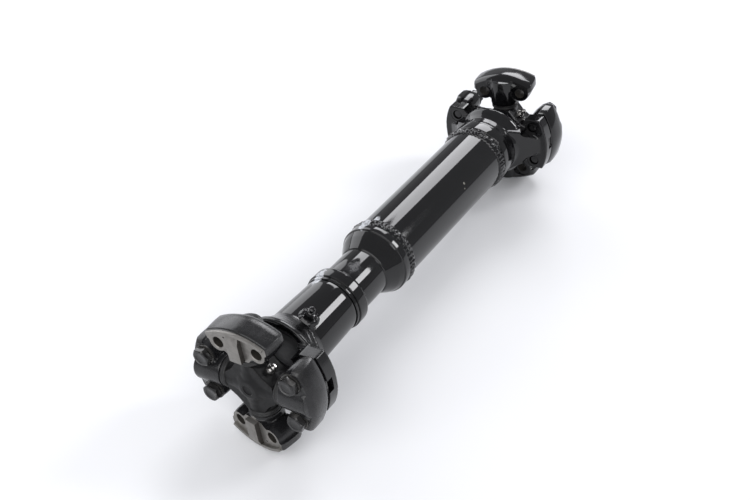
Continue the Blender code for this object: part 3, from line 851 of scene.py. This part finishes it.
def build_slip(shapes, finishes):
    """The slip yoke with its boss and nipple, its dust cap, seal and plug."""
    place = joint_place("near")
    yoke, black = ["slip_yoke"], "gloss_black_paint"
    head_finishes = [finishes["slip_head"], finishes["cup"]]
    piece("slip_yoke_head", yoke_mesh(slip_hub()), head_finishes, "slip", yoke, place, is_in_cup)
    sleeve = softened([(66.0, 30.0), (66.0, 36.52), (130.0, 34.35), (134.4, 34.1), (134.4, 31.4)], 0.8)
    sleeve = turned(sleeve, closed=True)
    piece("slip_yoke_sleeve", sleeve, [finishes["shaft"]], "slip", yoke, place)

    along = Matrix.Translation((SLIP_NIPPLE["along"], 0.0, 0.0))
    boss_place = place @ turn(SLIP_NIPPLE["angle"], "X") @ along
    piece("slip_nipple_boss", slip_boss(), [finishes["rough_paint"]], "slip", yoke, boss_place)
    seat = boss_place @ Matrix.Translation((0.0, 0.0, SLIP_NIPPLE["seat"]))
    nipple_finish = [finishes["painted_nipple"]]
    piece("look_slip_nipple", shapes["nipple"], nipple_finish, "slip", ["slip_nipple"], seat)

    cap = [(134.9, 32.9), (134.9, 35.3), (138.0, 35.5), (138.3, 34.6), (139.3, 34.6), (139.8, 36.7)]
    cap += [(153.0, 36.7), (157.0, 33.8), (157.0, 31.3), (155.6, 31.3), (155.6, 32.9)]
    cap = turned(softened(cap, 0.7, closed=True), closed=True)
    piece("look_dust_cap", cap, [finishes["shaft"]], "slip", ["dust_cap"], place)
    seal = softened([(150.0, 31.1), (150.0, 32.5), (155.2, 32.5), (155.2, 31.1)], 0.3, closed=True)
    seal = turned(seal, closed=True)
    piece("look_slip_seal", seal, [finishes["seal"]], "slip", ["slip_seal"], place)
    plug = [(48.6, 0.0), (49.0, 14.0), (50.4, 28.4), (52.2, 28.4), (51.0, 14.0), (50.6, 0.0)]
    plug = turned(softened(plug, 1.0))
    piece("look_slip_yoke_plug", plug, [finishes["plug"]], "slip", ["slip_yoke_plug"], place)


def build_shaft(finishes):
    """The splined stub with its cone, the tube, its two welds and the welded yoke."""
    place, far = joint_place("near"), joint_place("far")
    neck = [(-72.0, 0.0), (-72.0, NECK_RADIUS), (-0.8, NECK_RADIUS), (-0.4, 30.2), (0.4, 30.2)]
    cone = [(1.2, 31.6), (8.0, 35.4), (15.0, 39.6), (21.5, 42.4), (22.4, 42.4), (23.2, 44.0)]
    plug = [(32.4, 44.0), (36.0, 38.0), (36.0, 36.8), (60.0, 36.8), (60.0, 0.0)]
    stub = turned(softened([(CONE_FROM_NEAR + a, b) for a, b in (*neck, *cone, *plug)], 0.9))
    piece("look_splined_stub", stub, [finishes["stub"]], "shaft", ["splined_stub"], place)

    wall = [(TUBE_START, 37.2), (TUBE_START, 39.0), (TUBE_START + 3.0, TUBE_RADIUS)]
    wall += [(TUBE_END - 3.0, TUBE_RADIUS), (TUBE_END, 39.0), (TUBE_END, 37.2)]
    piece("look_tube", turned(wall, closed=True), [finishes["tube"]], "shaft", ["tube"], place)
    for name, at, side, seed in (("front_weld", TUBE_START, 1, 0.0), ("rear_weld", TUBE_END, -1, 7.0)):
        bead = weld_mesh(at, side, seed)
        piece(f"look_{name}", bead, [finishes["weld"]], "shaft", [name], place)

    head, yoke = yoke_mesh(tube_yoke_hub()), ["tube_yoke"]
    piece("tube_yoke_head", head, [finishes["far_head"]], "shaft", yoke, far)
    end = FAR_FROM_NEAR - TUBE_END
    band = [(74.0, 30.0), (74.0, 43.45), (end - 7.4, 43.45), (end - 4.0, 38.0), (end - 4.0, 36.8)]
    band += [(end + 20.0, 36.8), (end + 20.0, 30.0)]
    band = turned(softened(band, 0.9, closed=True), closed=True)
    piece("tube_yoke_band", band, [finishes["shaft"]], "shaft", yoke, far)


# Studio ------------------------------------------------------------------------------------------


LIGHT_DISTANCE = 5.0
SHAFT_MIDDLE = Vector((0.0, 0.0, 0.08))


def area_light(name, cone, turned_by, strength, colour=(1.0, 1.0, 1.0)):
    """A soft box that spans two ranges of directions, in degrees, and shines on the middle of the shaft.

    cone is the range of angles from the shaft's +X axis, and turned_by the range of angles round that axis
    from straight up towards -Y. strength is the light's radiance.
    """
    from_axis = math.radians(sum(cone) / 2)
    round_axis = math.radians(sum(turned_by) / 2)
    outward = Vector((0.0, -math.sin(round_axis), math.cos(round_axis)))
    away = Vector((math.cos(from_axis), 0.0, 0.0)) + outward * math.sin(from_axis)
    sideways = Vector((0.0, -math.cos(round_axis), -math.sin(round_axis)))
    angle_across = math.radians(cone[1] - cone[0])
    angle_round = math.radians(turned_by[1] - turned_by[0]) * math.sin(from_axis)
    data = bpy.data.lights.new(name, "AREA")
    data.shape = "RECTANGLE"
    data.size = 2 * LIGHT_DISTANCE * math.tan(angle_across / 2)
    data.size_y = 2 * LIGHT_DISTANCE * math.tan(angle_round / 2)
    data.energy = strength * math.pi * data.size * data.size_y
    data.color = colour
    axes = Matrix((sideways.cross(away), sideways, away)).transposed().to_4x4()
    linked(name, data).matrix_world = Matrix.Translation(SHAFT_MIDDLE + away * LIGHT_DISTANCE) @ axes


def build_floor():
    """A pale sheet just under the shaft."""
    reach = 14.0
    corners = [(-reach, -reach, 0), (reach, -reach, 0), (reach, reach, 0), (-reach, reach, 0)]
    mesh = bpy.data.meshes.new("floor")
    mesh.from_pydata(corners, [], [(0, 1, 2, 3)])
    material, tree, shader, position = new_material("floor_sheet", Roughness=0.6)
    cloud = noise_node(tree, position, 2.2, 3.0)
    colour = mixed(tree, cloud, (0.86, 0.865, 0.885), (0.9, 0.905, 0.92))
    tree.links.new(colour, shader.inputs["Base Color"])
    mesh.materials.append(material)
    floor = linked("floor", mesh)
    floor.location.z = -0.0004


def build_lights():
    """Dim sky light and four soft boxes, of which two draw the long bright lines on the tube and sleeve."""
    world = bpy.data.worlds.new("studio")
    world.use_nodes = True
    background = world.node_tree.nodes["Background"]
    background.inputs["Color"].default_value = (0.95, 0.96, 1.0, 1.0)
    background.inputs["Strength"].default_value = 0.4
    bpy.context.scene.world = world
    area_light("strip_over_tube", (32.0, 48.2), (-47.0, 1.0), 6.8, (0.97, 0.97, 1.0))
    area_light("strip_over_sleeve", (48.5, 60.0), (31.0, 53.0), 12.5, (0.98, 0.98, 1.0))
    area_light("left_wall", (50.5, 100.0), (-88.0, -50.0), 2.2, (0.96, 0.97, 1.0))
    area_light("behind_camera", (120.0, 160.0), (-50.0, 70.0), 2.3)


def build_camera():
    """A slightly long lens, placed from the near end of the shaft's cone, in metres and radians."""
    data = bpy.data.cameras.new("camera")
    data.lens = 52.8
    data.sensor_width = 36.0
    camera = linked("camera", data)
    near, far = (Vector(JOINTS[f"{end}_cross_tilt"]["pos_m"]) for end in ("near", "far"))
    cone = near.lerp(far, CONE_FROM_NEAR / FAR_FROM_NEAR)
    camera.location = cone + Vector((-0.8050, -0.5249, 0.8325))
    yaw, pitch = 0.564, 0.694
    level = math.cos(pitch)
    forward = Vector((level * math.cos(yaw), level * math.sin(yaw), -math.sin(pitch)))
    camera.rotation_mode = "QUATERNION"
    camera.rotation_quaternion = forward.to_track_quat("-Z", "Y")
    bpy.context.scene.camera = camera


def on_shaft(from_cone, angle, radius):
    """A point on the shaft in metres: millimetres past the cone's start, degrees from the top, and radius."""
    point = Vector((CONE_FROM_NEAR + from_cone, 0.0, radius))
    return tuple(joint_place("near") @ turn(angle + SHAFT_ROLL, "X") @ point)


def make_shapes():
    """The meshes of the pieces that are used more than once."""
    return {
        "free_block": block_mesh(True),
        "fixed_block": block_mesh(False),
        "cross": cross_mesh(),
        "seal": seal_mesh(),
        "bolt": bolt_mesh(),
        "washer": washer_mesh(),
        "nipple": nipple_mesh(),
    }


def make_finishes():
    """Every finish by name, with the marks and the painted reflections on the shaft placed where they are."""
    chips = [
        (on_shaft(181.2, 49.1, TUBE_RADIUS), 0.0036, 1.0, (0.2, 0.19, 0.165), 1.0, 0.07),
        (on_shaft(177.5, 57.0, TUBE_RADIUS), 0.0034, 1.0, (0.17, 0.16, 0.14), 1.02, 0.07),
        (on_shaft(44.0, -18.0, TUBE_RADIUS), 0.008, 2.6, WHITE_SCUFF_AND_REFLECTION, 0.95, 0.07),
    ]
    # A soft, slightly paler grey patch on the stub's neck
    pale_patch = (on_shaft(-29.0, 12.0, NECK_RADIUS), 0.013, 1.3, (0.045, 0.045, 0.05), 0.75, 0.4)
    # Painted reflections: pale patches on the dust cap and beside the front weld, where the pale floor is
    # reflected
    cap_painted_reflection = (on_shaft(-64.0, -31.0, 36.0), 0.0095, 2.4, WHITE_SCUFF_AND_REFLECTION, 0.85, 0.07)
    weld_painted_reflection = (on_shaft(34.0, -28.0, 43.0), 0.01, 2.0, WHITE_SCUFF_AND_REFLECTION, 0.85, 0.07)
    return {
        "shaft": gloss_paint("gloss_black", [cap_painted_reflection]),
        "tube": gloss_paint("gloss_black_tube", chips),
        "stub": gloss_paint("gloss_black_stub", [pale_patch, weld_painted_reflection]),
        # Paint inside the yoke's cup: darker and less shiny, as painted shade in the recess
        "cup": forging_paint("cup_paint_painted_shade", (0.003, 0.003, 0.0033), (0.4, 0.6), 0.4, 0.12),
        "slip_head": gloss_paint("gloss_black_slip_head", rough=(0.14, 0.34), dust=0.5, peel=0.3),
        "far_head": gloss_paint("gloss_black_far_head", rough=(0.06, 0.16), dust=0.3, peel=0.2),
        "rough_paint": gloss_paint("gloss_black_boss", rough=(0.05, 0.12), peel=0.5),
        "weld": gloss_paint("gloss_black_weld", [weld_painted_reflection], rough=(0.03, 0.07), peel=0.4),
        "near_block": forging_paint("near_block_paint", (0.0075, 0.0075, 0.0082), (0.17, 0.34), 0.8, 0.42),
        "far_block": gloss_paint("far_block_paint", rough=(0.06, 0.15), dust=0.3, peel=0.15),
        # The near cross: satin black paint, made darker and less shiny than the far cross as painted shade
        # under the near joint's blocks
        "near_cross": forging_paint("near_cross_paint_and_shade", (0.0042, 0.0042, 0.0045), (0.3, 0.5), 0.7, 0.2),
        "far_cross": forging_paint("far_cross_paint", (0.008, 0.008, 0.009), (0.16, 0.34)),
        "ground": ground_steel("ground_face", (0.24, 0.23, 0.216), stain=0.65),
        # Bolt-hole walls and drive-key sides: dark oily steel, darker still as painted shade on these hollow
        # and side walls
        "dark_wall_oil_and_shade": ground_steel("dark_wall_oil_and_shade", (0.035, 0.031, 0.026), (0.5, 0.7), stain=0.8, metallic=0.2),
        "bearing": ground_steel("bearing_steel", (0.55, 0.54, 0.53), (0.15, 0.3)),
        "seal": seal_rubber("seal_rubber"),
        "near_bolt": forging_paint("near_bolt_paint", (0.006, 0.006, 0.0063), (0.16, 0.3), 0.25, 0.4),
        "far_bolt": gloss_paint("far_bolt_paint", rough=(0.06, 0.15), peel=0.2),
        "near_washer": ground_steel("near_washer", (0.06, 0.058, 0.055), (0.2, 0.34), 0.8, metallic=0.5),
        "far_washer": gloss_paint("far_washer_paint", rough=(0.08, 0.2), peel=0.2),
        "nipple": ground_steel("nipple_steel", (0.36, 0.35, 0.34), (0.06, 0.16), stain=0.9, metallic=0.95),
        "painted_nipple": gloss_paint("nipple_paint", rough=(0.05, 0.12), peel=0.3),
        "plug": ground_steel("plug_steel", (0.05, 0.05, 0.052), (0.3, 0.5), metallic=0.3),
    }


def main():
    bpy.context.scene.view_settings.view_transform = "Standard"
    build_camera()
    build_floor()
    build_lights()
    finishes, shapes = make_finishes(), make_shapes()
    for end in ("near", "far"):
        build_joint(end, shapes, finishes)
    build_slip(shapes, finishes)
    build_shaft(finishes)
    for name, obj in frame["nodes"].items():
        if "needles" in name:
            obj.data.materials.clear()
            obj.data.materials.append(finishes["bearing"])


main()
